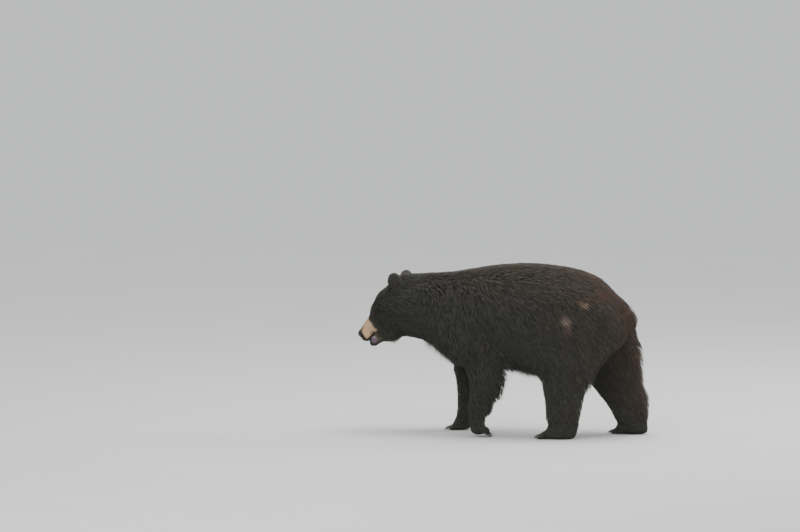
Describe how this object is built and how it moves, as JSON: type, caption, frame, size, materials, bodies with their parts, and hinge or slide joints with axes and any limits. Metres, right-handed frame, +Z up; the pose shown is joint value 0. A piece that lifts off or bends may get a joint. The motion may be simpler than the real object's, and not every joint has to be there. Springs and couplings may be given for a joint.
{
  "type": "american black bear, walking",
  "caption": "Life-size still model of a walking black bear: heavy dark coat, low head with a tan muzzle, slightly open mouth, clawed paws.",
  "frame": {"origin": "on the floor, under the middle of the bear's bounding box", "axes": "-X is the way the bear walks, +X its rear; +Y is its right side, -Y its left; +Z up"},
  "size_m": [1.5104, 0.458, 0.8824],
  "materials": {
    "coat": "dense brown-black fur, slightly glossy",
    "muzzle_coat": "short tan fur",
    "nose_leather": "moist black nose leather",
    "tongue": "wet, dull pink-grey",
    "eyes": "dark brown, wet gloss",
    "claws": "dark horn, worn satin"
  },
  "bodies": {
    "root": {"belly": "coat", "chest": "coat", "ear_left": "coat", "ear_right": "coat", "eye_left": "eyes", "eye_right": "eyes", "face": "coat", "foreleg_left": "coat", "foreleg_right": "coat", "forepaw_left": "coat", "forepaw_left_claw_1": "claws", "forepaw_left_claw_2": "claws", "forepaw_left_claw_3": "claws", "forepaw_left_claw_4": "claws", "forepaw_left_claw_5": "claws", "forepaw_right": "coat", "forepaw_right_claw_1": "claws", "forepaw_right_claw_2": "claws", "forepaw_right_claw_3": "claws", "forepaw_right_claw_4": "claws", "forepaw_right_claw_5": "claws", "head": "coat", "hindleg_left": "coat", "hindleg_right": "coat", "hindpaw_left": "coat", "hindpaw_left_claw_1": "claws", "hindpaw_left_claw_2": "claws", "hindpaw_left_claw_3": "claws", "hindpaw_left_claw_4": "claws", "hindpaw_left_claw_5": "claws", "hindpaw_right": "coat", "hindpaw_right_claw_1": "claws", "hindpaw_right_claw_2": "claws", "hindpaw_right_claw_3": "claws", "hindpaw_right_claw_4": "claws", "hindpaw_right_claw_5": "claws", "lower_jaw": "coat", "muzzle": "muzzle_coat", "neck": "coat", "nose": "nose_leather", "rump": "coat", "shoulder_left": "coat", "shoulder_right": "coat", "tail": "coat", "thigh_left": "coat", "thigh_right": "coat", "tongue": "tongue"}
  },
  "joints": []
}
